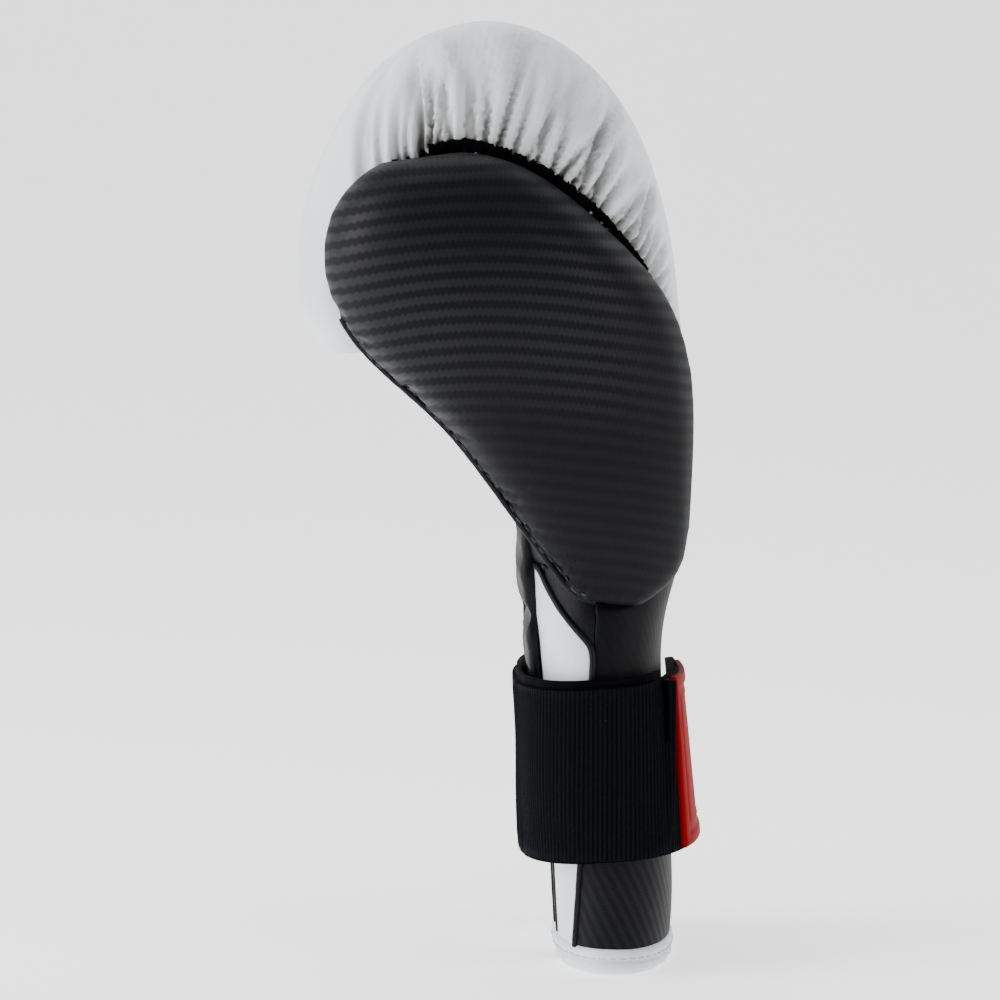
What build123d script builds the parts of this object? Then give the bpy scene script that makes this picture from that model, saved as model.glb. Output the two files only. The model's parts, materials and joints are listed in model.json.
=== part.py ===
"""Right-hand training glove for boxing, standing on its cuff.

+Z runs from the cuff's hem up to the knuckles, +X is the back of the hand, -X the palm side
towards which the padded fist curls, and -Y is the thumb side. The origin is the middle of the
hand opening, on the plane of the hem's lower face. All sizes are in millimetres.
"""

from build123d import *
from math import cos, sin, radians, copysign
import os

# ---- driving sizes -------------------------------------------------------------------------
cuff_height = 131.0         # hem to the seam between cuff and fist
dome_top = 306.5            # hem to the top of the knuckle padding
leather = 1.2               # covers
lining = 0.9                # inner fabric
cuff_padding = 4.0          # foam in the cuff wall
thumb_gap = 0.4             # air between the thumb and what it lies against
gusset = 1.0                # stretch fabric behind the thumb and in the palm slit
running_gap = 0.3           # between strap links

fist_near = 48.0            # half width of the fist on the thumb side
fist_far = 59.0             # half width on the little finger side
fist_power = 2.5            # 2 is an ellipse, more is squarer
cuff_near = 41.0
cuff_far = 42.5
cuff_power = 2.35

hand_near = 33.0            # hand compartment's half widths, from the plane Y = 0
hand_far = 45.0
finger_arc_radius = 37.0    # the fingers bend round this centreline
finger_arc_x = -41.0
finger_arc_z = 207.0
finger_arc_turn = 148.0     # degrees from straight up
finger_depth = 13.0         # half depth of the compartment at the fingers
tip_depth = 10.0

tape_width = 4.2            # binding where the pleated leather meets the thumb
tape_thick = 1.0

grip_bar_radius = 9.0
grip_bar_length = 62.0
grip_bar_x = -46.0
grip_bar_z = 216.0

slit_width = 14.0           # open strip down the palm side of the cuff
slit_middle = -6.0          # its place across the palm
piping = 2.2                # rolled edge on each side of the slit
piping_proud = 0.5
tongue_proud = 3.2          # soft tongue over the slit stands this far off the pipings
tongue_side = 6.0           # and reaches this far past each side of the slit
tongue_foot = 40.0

hem_height = 9.0
hem_fold = 1.6              # the hem's fold under the cuff's layers
hem_proud = 1.0
end_run = 6.0               # cuff outlines run on this far before they are cut to length

strap_width = 57.0
strap_middle = 66.0         # height of the strap's middle over the hem
strap_tilt = 4.0            # degrees, higher at the back of the hand
elastic = 1.6               # ribbed outer webbing
backing = 1.2               # soft layer under the webbing
backing_rise = 2.6          # the backing shows above the webbing by this much
strap_gather = 28.0         # half depth at mid height
strap_flare = 0.03          # extra half depth for each mm further down
strap_side = 46.0           # half width
strap_power = 2.5
strap_centre_x = -4.0
swing_angle = 217.0         # where the strap folds away from the palm, from +X round Z
peel_angle = 301.0          # where the tab end folds
tab_end_angle = 394.0
anchor_start_angle = 128.0
axis_out = 0.3              # fold lines lie this far outside the webbing
link_gap = 0.35             # degrees left open on each side of a fold

hook_patch = 1.2
loop_patch = 0.9
seam_gap = 0.1              # between the tab's webbing and the patch sewn on it
patch_foot = 46.0           # lower and upper edges of the hook and loop patches
patch_top = 84.0
tab_plate = 1.8             # moulded rubber
tab_rim = 0.6               # its raised border
tab_rim_width = 3.4
tab_margin = 0.8            # webbing that shows above and below the plate

thumb_hole = 13.0           # radius of the thumb's compartment
thumb_tip_hole = 10.5


# ---- helpers -------------------------------------------------------------------------------
def oval(centre, first, second, first_half, second_low, second_high, power, count=20):
    """Closed smooth curve about centre. It reaches first_half either way along the first
    direction, and second_low and second_high against and along the second one."""
    points = []
    for i in range(count):
        a = radians(360.0 * i / count)
        u = first_half * copysign(abs(cos(a)) ** (2 / power), cos(a))
        half = second_high if sin(a) > 0 else second_low
        v = half * copysign(abs(sin(a)) ** (2 / power), sin(a))
        points.append(centre + first * u + second * v)
    return Wire([Edge.make_spline(points, periodic=True)])


def one(shape):
    """The solids of a boolean's result, as one shape to export."""
    solids = shape.solids()
    return solids[0] if len(solids) == 1 else Compound(children=list(solids))


def wedge(start, end, reach=120.0, low=-30.0, high=200.0, centre=(strap_centre_x, 0.0)):
    """Prism that holds everything between two directions round Z, under 180 degrees apart."""
    steps = [start + (end - start) * k / 4 for k in range(5)]
    rim = [(centre[0] + reach * cos(radians(a)), centre[1] + reach * sin(radians(a)))
           for a in steps]
    outline = Face(Wire.make_polygon([(x, y, low) for x, y in [centre] + rim], close=True))
    return Solid.extrude(outline, Vector(0, 0, high - low))


def block(x0, x1, y0, y1, z0, z1):
    return Solid.make_box(x1 - x0, y1 - y0, z1 - z0, Plane(origin=(x0, y0, z0)))


def side_prism(corners):
    """Prism across the whole glove over a polygon in the side view."""
    face = Face(Wire.make_polygon([(x, -90, z) for x, z in corners], close=True))
    return Solid.extrude(face, Vector(0, 180, 0))


# ---- fist ----------------------------------------------------------------------------------
# Each station is the palm side point, the back side point, and the share of the full width.
fist_stations = [
    ((-28.0, cuff_height), (21.5, cuff_height), 0.76),
    ((-32.0, 148.0), (23.4, 152.0), 0.84),
    ((-43.0, 170.0), (23.2, 190.0), 0.95),
    ((-53.0, 186.0), (20.0, 226.0), 1.00),
    ((-57.5, 195.0), (8.0, 271.0), 1.02),
    ((-59.0, 200.0), (-16.0, 298.5), 1.02),
    ((-60.5, 202.5), (-41.0, dome_top), 1.01),
    ((-62.5, 203.5), (-71.0, 296.5), 1.00),
    ((-65.0, 203.8), (-94.0, 265.0), 0.98),
    ((-68.5, 203.3), (-103.0, 232.0), 0.95),
    ((-73.5, 201.8), (-99.5, 209.0), 0.84),
    ((-79.5, 200.0), (-91.0, 200.3), 0.62),
]


def fist(inset):
    """Fist outline moved in by inset, open towards the cuff."""
    wires = []
    last = len(fist_stations) - 1
    for i, (palm, back, share) in enumerate(fist_stations):
        palm_point = Vector(palm[0], 0, palm[1])
        back_point = Vector(back[0], 0, back[1])
        across = (back_point - palm_point).normalized()
        middle = (palm_point + back_point) * 0.5
        if i == last:
            middle = middle + Vector(0, 0, inset)
        half = (back_point - palm_point).length / 2 - inset
        if i == 0 and inset:
            wires.append(oval(middle - Vector(0, 0, 2), across, Vector(0, 1, 0), half,
                              fist_near * share - inset, fist_far * share - inset, fist_power))
        else:
            wires.append(oval(middle, across, Vector(0, 1, 0), half,
                              fist_near * share - inset, fist_far * share - inset, fist_power))
    return Solid.make_loft(wires)


def hand_hollow(extra):
    """Hand compartment from the cuff's top round to the fingertips, grown by extra."""
    along_y = Vector(0, 1, 0)
    rows = [(-4.0, cuff_height - 2.0 * (extra == 0), 15.5, 0.96),
            (-3.5, 160.0, 16.5, 0.98),
            (-4.0, 190.0, 16.0, 1.0)]
    wires = [oval(Vector(x, 0, z), Vector(1, 0, 0), along_y, depth + extra,
                  hand_near * share + extra, hand_far * share + extra, 2.6)
             for x, z, depth, share in rows]
    steps = 5
    for k in range(1, steps + 1):
        turn = radians(finger_arc_turn * k / steps)
        out = Vector(cos(turn), 0, sin(turn))
        depth = finger_depth + (tip_depth - finger_depth) * k / steps
        share = 1.0 - 0.10 * (k / steps) ** 2
        centre = Vector(finger_arc_x, 0, finger_arc_z) + out * finger_arc_radius
        if k == steps:
            centre = centre + Vector(-sin(turn), 0, cos(turn)) * extra
        wires.append(oval(centre, out, along_y, depth + extra,
                          hand_near * share + extra, hand_far * share + extra, 2.6))
    return Solid.make_loft(wires)


def curl_side():
    """Prism on the palm side of the middle of the hand compartment, where the padding parts."""
    corners = [(-4, cuff_height - 9), (-4, finger_arc_z)]
    for k in range(1, 9):
        turn = radians(finger_arc_turn * k / 8)
        corners.append((finger_arc_x + finger_arc_radius * cos(turn),
                        finger_arc_z + finger_arc_radius * sin(turn)))
    end = radians(finger_arc_turn)
    corners.append((corners[-1][0] - 45 * sin(end), corners[-1][1] + 45 * cos(end)))
    corners.append((corners[-1][0], cuff_height - 9))
    return side_prism(corners)


# ---- thumb ---------------------------------------------------------------------------------
# Each station is the left and right edge of the thumb as seen from the thumb side, then how
# far it bulges out and in from the line between them.
thumb_stations = [
    ((-14.0, -42.0, 122.0), (8.0, -36.0, 119.5), 7.0, 3.0),
    ((-22.5, -42.0, 134.0), (19.5, -27.0, 129.5), 13.0, 2.0),
    ((-36.5, -44.0, 151.0), (23.0, -27.0, 149.0), 20.0, 3.0),
    ((-53.5, -46.0, 170.0), (24.0, -29.0, 177.0), 25.0, 4.0),
    ((-70.5, -48.0, 188.5), (22.0, -31.0, 199.0), 28.5, 5.0),
    ((-83.0, -49.0, 204.0), (14.5, -36.0, 219.5), 30.5, 6.0),
    ((-90.5, -50.0, 220.5), (0.0, -42.0, 237.0), 30.0, 7.0),
    ((-92.0, -51.0, 238.0), (-16.5, -46.0, 252.0), 27.0, 7.0),
    ((-86.5, -51.5, 252.0), (-33.0, -49.0, 262.0), 21.5, 6.5),
    ((-74.5, -52.0, 262.0), (-49.0, -51.0, 265.5), 12.0, 5.0),
]


def thumb(extra):
    """Thumb outline grown by extra."""
    wires = []
    last = len(thumb_stations) - 1
    for i, (left, right, out, back) in enumerate(thumb_stations):
        left_point, right_point = Vector(*left), Vector(*right)
        across = (right_point - left_point).normalized()
        outward = across.cross(Vector(0, 0, 1)).normalized()
        middle = (left_point + right_point) * 0.5
        axis = across.cross(outward).normalized()
        if axis.Z < 0:
            axis = axis * -1
        if i == 0:
            middle = middle - axis * extra
        if i == last:
            middle = middle + axis * extra
        half = (right_point - left_point).length / 2 + extra
        wires.append(oval(middle, across, outward * -1, half, out + extra, back + extra, 2.3))
    return Solid.make_loft(wires)


def tube(start, end, start_radius, end_radius):
    """Tapered round rod with a rounded far end."""
    way = (end - start).normalized()
    rod = Solid.make_cone(start_radius, end_radius, (end - start).length,
                          Plane(origin=start, z_dir=way))
    return rod + Solid.make_sphere(end_radius, Plane(origin=end), angle1=-90, angle2=90)


# ---- cuff ----------------------------------------------------------------------------------
# Height, palm side and back side of the cuff's outer face.
cuff_stations = [
    (0.0, -18.5, 18.5),
    (30.0, -20.0, 19.4),
    (62.0, -22.0, 18.0),
    (95.0, -24.5, 16.3),
    (115.0, -26.5, 17.8),
    (cuff_height, -28.0, 21.5),
]


def cuff(inset):
    """Cuff outline moved in by inset, run past both ends of the cuff by end_run."""
    base, top = cuff_stations[0], cuff_stations[-1]
    rows = [(base[0] - end_run,) + base[1:], *cuff_stations, (top[0] + end_run,) + top[1:]]
    wires = []
    for i, (z, palm, back) in enumerate(rows):
        blend = 1.0 if i >= len(rows) - 2 else 0.5 if i == len(rows) - 3 else 0.0
        near = cuff_near + (fist_near * fist_stations[0][2] - cuff_near) * blend
        far = cuff_far + (fist_far * fist_stations[0][2] - cuff_far) * blend
        wires.append(oval(Vector((palm + back) / 2, 0, z), Vector(1, 0, 0), Vector(0, 1, 0),
                          (back - palm) / 2 - inset, near - inset, far - inset, cuff_power))
    return Solid.make_loft(wires)


def strap_oval(grow, low, high):
    """Filled outline of the strap, grown by grow, between two heights on its own tilted axis."""
    wires = []
    for z in (low, (low + high) / 2, high):
        flare = strap_flare * (strap_middle - z)
        wires.append(oval(Vector(strap_centre_x, 0, z), Vector(1, 0, 0), Vector(0, 1, 0),
                          strap_gather + flare + grow, strap_side + flare * 0.4 + grow,
                          strap_side + 1.5 + flare * 0.4 + grow, strap_power))
    solid = Solid.make_loft(wires)
    return solid.rotate(Axis((strap_centre_x, 0, strap_middle), (0, 1, 0)), -strap_tilt)


def strap_band(inner, outer, low, high, start, end):
    """Piece of the strap between two growths, two heights and two directions."""
    ring = strap_oval(outer, low, high) - strap_oval(inner, low - 1, high + 1)
    return one(ring & wedge(start, end))


def cuff_layer(outer, inner):
    """Full height ring between two insets of the cuff's outline."""
    return (cuff(outer) - cuff(inner)) & slab(hem_fold, cuff_height)


def slab(low, high):
    """Everything round the cuff between two heights."""
    return block(-80, 80, -80, 80, low, high)


def strap_reach(angle, z):
    """Distance from the strap's upright middle line to its outer face, in one direction."""
    shift = -sin(radians(strap_tilt)) * (z - strap_middle)
    deep = strap_gather + strap_flare * (strap_middle - z)
    wide = strap_side + 0.4 * strap_flare * (strap_middle - z)
    near, far = 0.0, 100.0
    for _ in range(40):
        mid = (near + far) / 2
        x, y = mid * cos(radians(angle)) - shift, mid * sin(radians(angle))
        inside = (abs(x) / deep) ** strap_power + (abs(y) / wide) ** strap_power < 1
        near, far = (mid, far) if inside else (near, mid)
    return near


def fold_line(angle):
    """Point and direction of the line that the strap folds about."""
    ends = []
    for z in (strap_middle - strap_width / 2, strap_middle + strap_width / 2):
        reach = strap_reach(angle, z) + axis_out
        ends.append(Vector(strap_centre_x + reach * cos(radians(angle)),
                           reach * sin(radians(angle)), z))
    return (ends[0] + ends[1]) * 0.5, (ends[1] - ends[0]).normalized()


# ---- fist and thumb ------------------------------------------------------------------------
parts = {}
fist_outer, fist_inner = fist(0.0), fist(leather)
thumb_clear = thumb(thumb_gap)
thumb_seat = thumb(thumb_gap + gusset)
hand_open, hand_wall = hand_hollow(0.0), hand_hollow(lining)

palm_end = Vector(-14, -18, 152)
thumb_root = Vector(-38, -50, 190)
thumb_tip = Vector(-64, -55, 236)
passage = tube(palm_end, thumb_root, thumb_hole + 1, thumb_hole)
thumb_open = tube(thumb_root, thumb_tip, thumb_hole, thumb_tip_hole) + passage
thumb_wall = (tube(thumb_root, thumb_tip, thumb_hole + lining, thumb_tip_hole + lining)
              + tube(palm_end, thumb_root, thumb_hole + 1 + lining, thumb_hole + lining))

above_seam = block(-150, 80, -120, 100, cuff_height, 340)
shell = (fist_outer - fist_inner) & above_seam
palm_window = block(-62, -22, -34, 42, cuff_height, 206.5)
parts["fist_cover"] = one(shell - palm_window - thumb_clear)
parts["palm_cover"] = one((shell & palm_window) - thumb_clear)

grip_bar = Solid.make_cylinder(grip_bar_radius, grip_bar_length,
                               Plane(origin=(grip_bar_x, 5 - grip_bar_length / 2, grip_bar_z),
                                     z_dir=(0, 1, 0)))
grip_bar = grip_bar - hand_wall
parts["grip_bar"] = one(grip_bar)
foam = ((fist_inner & above_seam) - hand_wall) - thumb_seat
foam = foam - grip_bar - passage
palm_pad_block = block(-77, -21, -60, 70, cuff_height, 200)
parts["palm_foam"] = one(foam & palm_pad_block)
foam = foam - palm_pad_block
parts["knuckle_foam"] = one(foam - curl_side())
parts["finger_foam"] = one(foam & curl_side())
parts["hand_lining"] = one(((hand_wall - hand_open) & above_seam) - passage - thumb_seat)
parts["thumb_gusset"] = one(((thumb_seat - thumb_clear) & (fist_inner & above_seam)) - passage
                            - hand_wall)
tape_zone = side_prism([(-62, 228), (-62, 290), (40, 290), (40, 185), (0, 185)])
tape_zone = tape_zone & block(-80, 60, -90, 0, 150, 300)
parts["gusset_tape"] = one(((thumb(tape_width) - thumb_clear) & (fist(-tape_thick) - fist_outer))
                           & tape_zone)

thumb_outer, thumb_inner = thumb(0.0), thumb(-leather)
parts["thumb_cover"] = one(thumb_outer - thumb_inner - passage)
parts["thumb_foam"] = one(thumb_inner - thumb_wall)
parts["thumb_lining"] = one((thumb_wall & thumb_inner) - thumb_open)

# ---- cuff ----------------------------------------------------------------------------------
slit_low, slit_high = slit_middle - slit_width / 2, slit_middle + slit_width / 2
wall = leather + cuff_padding + lining
palm_half = block(-80, -4, -80, 80, -5, cuff_height + 5)
slit = palm_half & block(-80, 0, slit_low, slit_high, -5, cuff_height + 5)
wide_slit = palm_half & block(-80, 0, slit_low - piping, slit_high + piping, -5, cuff_height + 5)
back_region = side_prism([(-13.5, -5), (60, -5), (60, cuff_height + 5), (-5.2, cuff_height + 5)])
near_half = block(-80, 80, -80, slit_middle, -5, cuff_height + 5)

cover_ring = cuff_layer(0.0, leather)
parts["cuff_back_panel"] = one((cover_ring & back_region) - thumb_clear)
flaps = (cover_ring - back_region) - wide_slit
parts["cuff_flap_thumb_side"] = one((flaps & near_half) - thumb_clear)
parts["cuff_flap_outer_side"] = one(flaps - near_half)
parts["cuff_foam"] = one(cuff_layer(leather, leather + cuff_padding) - wide_slit - thumb_clear)
parts["cuff_lining"] = one(cuff_layer(leather + cuff_padding, wall) - wide_slit)
rolled = (cuff(-piping_proud) - cuff(wall)) & slab(hem_height, cuff_height)
rolled = (rolled & wide_slit) - slit
parts["slit_piping_thumb_side"] = one(rolled & near_half)
parts["slit_piping_outer_side"] = one(rolled - near_half)
stretch = cuff(leather + 1.5) - cuff(leather + 1.5 + gusset)
parts["slit_gusset"] = one(stretch & slit & slab(hem_height, cuff_height))
tongue = cuff(-piping_proud - tongue_proud) - cuff(-piping_proud - running_gap)
parts["slit_tongue"] = one(tongue & block(-80, -10, slit_low - tongue_side, slit_high + tongue_side,
                                          tongue_foot, cuff_height))
hem = (cuff(-hem_proud) - cuff(wall) - slit) & slab(0, hem_height)
parts["cuff_hem"] = one(hem - (cuff(0.0) & slab(hem_fold, hem_height + 1)))
patch = cuff(-loop_patch) - cuff(0.0)
parts["loop_patch"] = one(patch & wedge(-48, 34) & block(0, 80, -80, 80, patch_foot, patch_top))

# ---- strap ---------------------------------------------------------------------------------
web = elastic + backing
foot, top = strap_middle - strap_width / 2, strap_middle + strap_width / 2
parts["strap_anchor"] = strap_band(-web, 0, foot, top, anchor_start_angle,
                                   swing_angle - link_gap)
fold = (strap_oval(-web, foot, top) - cuff(0.0)) & wedge(anchor_start_angle, 148)
parts["strap_anchor_fold"] = one(fold & block(-80, 0, 0, 80, 0, 200))
parts["strap_webbing"] = strap_band(-elastic, 0, foot, top, swing_angle + link_gap,
                                    peel_angle - link_gap)
parts["strap_backing"] = strap_band(-web, -elastic, foot, top + backing_rise,
                                    swing_angle + link_gap, peel_angle - link_gap)
parts["tab_webbing"] = strap_band(-web, 0, foot, top, peel_angle + link_gap, tab_end_angle)
hooks = strap_band(-web - seam_gap - hook_patch, -web - seam_gap, foot, top, peel_angle + 5,
                   tab_end_angle - 3)
parts["tab_hook_patch"] = one(hooks & block(0, 80, -80, 80, patch_foot, patch_top))
plate = strap_band(0, tab_plate + tab_rim, foot + tab_margin, top - tab_margin, peel_angle + 9,
                   tab_end_angle - 5)
well = strap_band(tab_plate, tab_plate + tab_rim + 1, foot + tab_rim_width,
                  top - tab_rim_width, peel_angle + 13, tab_end_angle - 9)
parts["tab_plate"] = one(plate - well)

for label, angle in (("strap_swing", swing_angle), ("tab_peel", peel_angle)):
    point, axis = fold_line(angle)
    print(label, "turns about", point, "along", axis * -1)
for name, shape in parts.items():
    print(name, len(shape.solids()), round(shape.volume), shape.is_valid)

os.makedirs("parts", exist_ok=True)
for name, shape in parts.items():
    export_step(shape, f"parts/{name}.step")
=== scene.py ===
import json
import math
import random

import bmesh
import bpy
import numpy as np
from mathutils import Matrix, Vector, noise
from mathutils.bvhtree import BVHTree


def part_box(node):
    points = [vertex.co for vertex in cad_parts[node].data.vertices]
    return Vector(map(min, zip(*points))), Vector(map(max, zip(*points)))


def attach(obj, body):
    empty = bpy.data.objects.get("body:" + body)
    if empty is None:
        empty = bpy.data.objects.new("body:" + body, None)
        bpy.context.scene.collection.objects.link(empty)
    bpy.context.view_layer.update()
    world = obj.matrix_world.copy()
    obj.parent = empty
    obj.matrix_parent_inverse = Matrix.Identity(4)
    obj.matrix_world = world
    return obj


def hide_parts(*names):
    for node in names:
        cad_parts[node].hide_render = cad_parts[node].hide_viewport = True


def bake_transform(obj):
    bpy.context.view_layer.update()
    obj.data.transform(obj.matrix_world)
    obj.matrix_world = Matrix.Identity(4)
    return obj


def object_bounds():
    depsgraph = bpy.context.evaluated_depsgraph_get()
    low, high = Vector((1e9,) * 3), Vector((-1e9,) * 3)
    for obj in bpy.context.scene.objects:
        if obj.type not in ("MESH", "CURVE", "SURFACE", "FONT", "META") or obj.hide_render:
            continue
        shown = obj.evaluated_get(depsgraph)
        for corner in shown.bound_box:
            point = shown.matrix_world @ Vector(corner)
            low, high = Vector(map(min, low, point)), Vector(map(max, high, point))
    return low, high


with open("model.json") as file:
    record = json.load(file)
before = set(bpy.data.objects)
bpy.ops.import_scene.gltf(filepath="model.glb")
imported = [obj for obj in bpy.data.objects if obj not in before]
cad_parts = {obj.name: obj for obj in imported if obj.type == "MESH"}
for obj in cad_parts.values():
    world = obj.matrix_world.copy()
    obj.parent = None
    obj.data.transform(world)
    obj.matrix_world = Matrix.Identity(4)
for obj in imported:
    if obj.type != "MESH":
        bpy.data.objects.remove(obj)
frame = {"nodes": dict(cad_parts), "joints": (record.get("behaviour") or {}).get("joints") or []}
nodes = frame["nodes"]
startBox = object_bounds()


# sockets and materials
socketNames = {"colour": "Base Color", "coatRough": "Coat Roughness", "coat": "Coat Weight",
               "glow": "Emission Color", "glowPower": "Emission Strength", "normal": "Normal",
               "rough": "Roughness", "specular": "Specular IOR Level"}


class Val:
    # one output socket; sums and products on it add the nodes they need
    def __init__(self, tree, socket):
        self.tree, self.socket = tree, socket

    def calc(self, op, other=None, swap=False):
        isVector = self.socket.type == "VECTOR"
        n = self.tree.nodes.new("ShaderNodeVectorMath" if isVector else "ShaderNodeMath")
        n.operation = op
        for slot, item in zip(n.inputs, (other, self) if swap else (self, other)):
            if isinstance(item, Val):
                self.tree.links.new(item.socket, slot)
            elif item is not None:
                slot.default_value = (item,) * 3 if isVector and not hasattr(item, "__len__") else item
        return Val(self.tree, n.outputs[0])

    def __add__(self, o): return self.calc("ADD", o)
    def __radd__(self, o): return self.calc("ADD", o)
    def __sub__(self, o): return self.calc("SUBTRACT", o)
    def __rsub__(self, o): return self.calc("SUBTRACT", o, True)
    def __mul__(self, o): return self.calc("MULTIPLY", o)
    def __rmul__(self, o): return self.calc("MULTIPLY", o)
    def __truediv__(self, o): return self.calc("DIVIDE", o)
    def __rtruediv__(self, o): return self.calc("DIVIDE", o, True)
    def __pow__(self, o): return self.calc("POWER", o)
    def __gt__(self, o): return self.calc("GREATER_THAN", o)
    def __lt__(self, o): return self.calc("LESS_THAN", o)
    def __abs__(self): return self.calc("ABSOLUTE")


class Look:
    # one material and its node tree
    def __init__(self, name):
        self.mat = bpy.data.materials.new(name)
        self.mat.use_nodes = True
        self.tree = self.mat.node_tree
        self.shader = self.tree.nodes["Principled BSDF"]

    def node(self, kind, settings=None, values=None, out=0):
        n = self.tree.nodes.new(kind)
        for key, value in (settings or {}).items():
            setattr(n, key, value)
        for key, value in (values or {}).items():
            if isinstance(value, Val):
                self.tree.links.new(value.socket, n.inputs[key])
            else:
                n.inputs[key].default_value = value
        return Val(self.tree, n.outputs[out])

    def place(self):
        return self.node("ShaderNodeTexCoord", out="Object")

    def parts(self, vector):
        n = self.node("ShaderNodeSeparateXYZ", values={0: vector}).socket.node
        return [Val(self.tree, o) for o in n.outputs]

    def uv(self):
        return self.parts(self.node("ShaderNodeUVMap", {"uv_map": "run"}))

    def grain(self, scale, detail=3.0, rough=0.55):
        return self.node("ShaderNodeTexNoise", values={"Vector": self.place(), "Scale": scale,
                                                       "Detail": detail, "Roughness": rough})

    def cells(self, scale):
        return self.node("ShaderNodeTexVoronoi", values={"Vector": self.place(), "Scale": scale})

    def given(self, name):
        return self.node("ShaderNodeAttribute", {"attribute_name": name}, out="Fac")

    def smooth(self, value, low, high):
        return self.node("ShaderNodeMapRange", {"interpolation_type": "SMOOTHSTEP", "clamp": True},
                         {0: value, 1: low, 2: high, 3: 0.0, 4: 1.0})

    def mix(self, factor, a, b):
        n = self.tree.nodes.new("ShaderNodeMix")
        n.data_type = "RGBA"
        for slot, item in ((0, factor), (6, a), (7, b)):
            if isinstance(item, Val):
                self.tree.links.new(item.socket, n.inputs[slot])
            elif slot:
                n.inputs[slot].default_value = (*item, 1.0)
            else:
                n.inputs[slot].default_value = item
        return Val(self.tree, n.outputs[2])

    def bump(self, height, depth, strength=1.0, under=None):
        values = {"Height": height, "Distance": depth, "Strength": strength}
        if under is not None:
            values["Normal"] = under
        return self.node("ShaderNodeBump", values=values)

    def set(self, **sockets):
        for key, value in sockets.items():
            slot = self.shader.inputs[socketNames[key]]
            if isinstance(value, Val):
                self.tree.links.new(value.socket, slot)
            elif hasattr(value, "__len__") and len(value) == 3:
                slot.default_value = (*value, 1.0)
            else:
                slot.default_value = value
        return self.mat


# leather, cloth and rubber
whiteLeather = {"colour": (0.70, 0.722, 0.755), "shade": (0.60, 0.620, 0.655), "fold": (0.13, 0.125, 0.085),
                "grainScale": 900, "grainDepth": 0.00012, "rough": 0.42}


def makeWhiteLeather():
    k = whiteLeather
    look = Look("whiteLeather")
    broad = look.grain(28, 2)
    base = look.mix(look.smooth(broad, 0.35, 0.65), k["colour"], k["shade"])
    # painted shade: fold valleys and the groove beside the tape are darkened towards a warm olive grey by
    # the per-vertex crease shade value
    base = look.mix(look.given("paintedCreaseShade"), base, k["fold"])
    pores = look.cells(k["grainScale"])
    wrinkle = look.grain(260, 4)
    coarse = look.bump(wrinkle, 0.0003, 0.35)
    return look.set(colour=base, rough=k["rough"] + look.grain(90, 3) * 0.12,
                    coat=0.12, coatRough=0.3,
                    normal=look.bump(pores, k["grainDepth"], 0.5, coarse))


carbonLeather = {"dark": (0.0002, 0.0003, 0.0012), "light": (0.0062, 0.0068, 0.0092), "band": 0.0047,
                 "tooth": 0.0018, "toothDepth": 0.0007, "wave": 0.0009, "bow": 2.2, "rough": 0.46}


def makeCarbonLeather(name, turn=0.0, useRun=False, size=1.0, shine=1.0):
    # two kinds of band with toothed edges: a satin one and a darker, duller one; the satin band's lighter
    # base colour is painted sheen, shown in broad random patches
    k = carbonLeather
    look = Look(name)
    if useRun:
        across, up, _ = look.uv()
        up, across = (up * math.cos(turn) + across * math.sin(turn),
                      across * math.cos(turn) - up * math.sin(turn))
    else:
        x, y, z = look.parts(look.place())
        across = x + y * 0.35
        off = x - thumbBow
        up = z + off * off * k["bow"]
    drift = look.grain(18, 1)
    up = up + (drift - 0.5) * (k["wave"] * 4)
    tooth = abs((across / (k["tooth"] * size)).calc("FRACT") - 0.5) * 2
    phase = (up + tooth * (k["toothDepth"] * size)) / (k["band"] * size)
    band = abs(phase.calc("FRACT") - 0.5) * 2
    paintedSheenPatches = 0.18 + 0.9 * look.smooth(look.grain(9, 1), 0.38, 0.62)
    # painted sheen: the lighter band colour stands for the sheen on the satin bands, and it is weaker where
    # shine is low
    glow = look.smooth(band, 0.25, 0.75) * paintedSheenPatches * shine
    base = look.mix(glow, k["dark"], k["light"])
    thread = look.smooth(abs((across / (k["tooth"] / 4)).calc("FRACT") - 0.5), 0.0, 0.5)
    pores = look.bump(look.grain(1400, 3), 0.00006, 0.3)
    return look.set(colour=base, rough=k["rough"] + 0.16 * (1 - glow), specular=0.12,
                    coat=0.02 * glow, coatRough=0.34,
                    normal=look.bump(band * 0.7 + thread * 0.3, 0.00010, 0.5, pores))


blackLeather = {"colour": (0.0008, 0.0009, 0.0015), "lift": (0.0045, 0.0047, 0.0062), "rough": 0.45}


def makeBlackLeather(name="blackLeather", lift=1.0):
    k = blackLeather
    look = Look(name)
    base = look.mix(look.smooth(look.grain(70, 4), 0.3, 0.75) * lift, k["colour"], k["lift"])
    return look.set(colour=base, rough=k["rough"] + look.grain(120, 3) * 0.15, specular=0.14,
                    normal=look.bump(look.cells(1000), 0.00012, 0.5,
                                     look.bump(look.grain(300, 4), 0.0003, 0.4)))


elasticBand = {"colour": (0.0003, 0.0004, 0.0008), "rib": (0.0034, 0.0037, 0.0056), "pitch": 0.0015,
               "row": 0.0006, "rough": 0.8}


def makeElastic(name="blackElastic", ribbed=True):
    k = elasticBand
    look = Look(name)
    run, up, _ = look.uv()
    rib = abs((run / k["pitch"]).calc("FRACT") - 0.5) * 2
    rows = abs((up / k["row"]).calc("FRACT") - 0.5) * 2
    shade = look.smooth(rib, 0.1, 0.8) * 0.8 + rows * 0.2 if ribbed else look.grain(900, 3) * 0.4
    fuzz = look.grain(2600, 3)
    base = look.mix(shade * (0.5 + fuzz), k["colour"], k["rib"])
    height = rib * 0.7 + rows * 0.3 if ribbed else fuzz
    return look.set(colour=base, rough=k["rough"], specular=0.04,
                    normal=look.bump(height, 0.00035 if ribbed else 0.0001, 0.7,
                                     look.bump(fuzz, 0.0001, 0.6)))


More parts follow.
